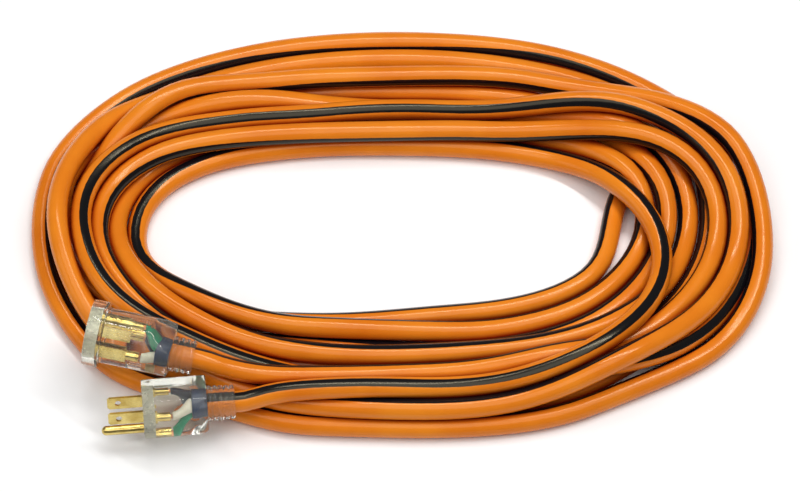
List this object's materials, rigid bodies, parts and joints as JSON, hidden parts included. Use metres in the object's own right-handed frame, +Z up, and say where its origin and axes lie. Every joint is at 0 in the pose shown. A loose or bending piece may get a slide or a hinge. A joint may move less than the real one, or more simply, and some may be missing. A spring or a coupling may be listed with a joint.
{
  "type": "extension cord",
  "caption": "Heavy-duty extension cord wound in a long oval coil, with a clear three-prong plug and a clear grounded connector lying at its near left corner.",
  "frame": {"origin": "on the floor, under the middle of the whole cord's box", "axes": "+X along the coil's length, +Y across it, away from the plug's side, +Z up"},
  "size_m": [0.3738, 0.2446, 0.0539],
  "materials": {
    "orange_jacket": "glossy orange vinyl jacket with a black stripe",
    "clear_pvc": "clear, slightly yellow moulded vinyl",
    "milky_nylon": "milky translucent carrier",
    "brass": "bright stamped brass",
    "black_insulation": "black wire insulation",
    "white_insulation": "white wire insulation",
    "green_insulation": "green wire insulation",
    "dark_wrap": "dark blue-black band",
    "copper": "bare stranded copper",
    "lamp_glass": "small clear glass envelope",
    "resistor_body": "tan lacquer"
  },
  "bodies": {
    "root": {"cord_coil": "orange_jacket", "cord_plug_tail": "orange_jacket", "cord_connector_tail": "orange_jacket", "plug_body": "clear_pvc", "plug_strain_relief": "clear_pvc", "plug_bridge": "milky_nylon", "plug_hot_blade": "brass", "plug_neutral_blade": "brass", "plug_ground_pin": "brass", "plug_hot_wire": "black_insulation", "plug_neutral_wire": "white_insulation", "plug_ground_wire": "green_insulation", "plug_wire_wrap": "dark_wrap", "plug_copper_strands": "copper", "connector_body": "clear_pvc", "connector_face_insert": "milky_nylon", "connector_strain_relief": "clear_pvc", "connector_hot_contact": "brass", "connector_neutral_contact": "brass", "connector_ground_contact": "brass", "connector_hot_wire": "black_insulation", "connector_neutral_wire": "white_insulation", "connector_ground_wire": "green_insulation", "connector_wire_wrap": "dark_wrap", "connector_copper_strands": "copper", "connector_lamp": "lamp_glass", "connector_resistor": "resistor_body"}
  },
  "joints": []
}
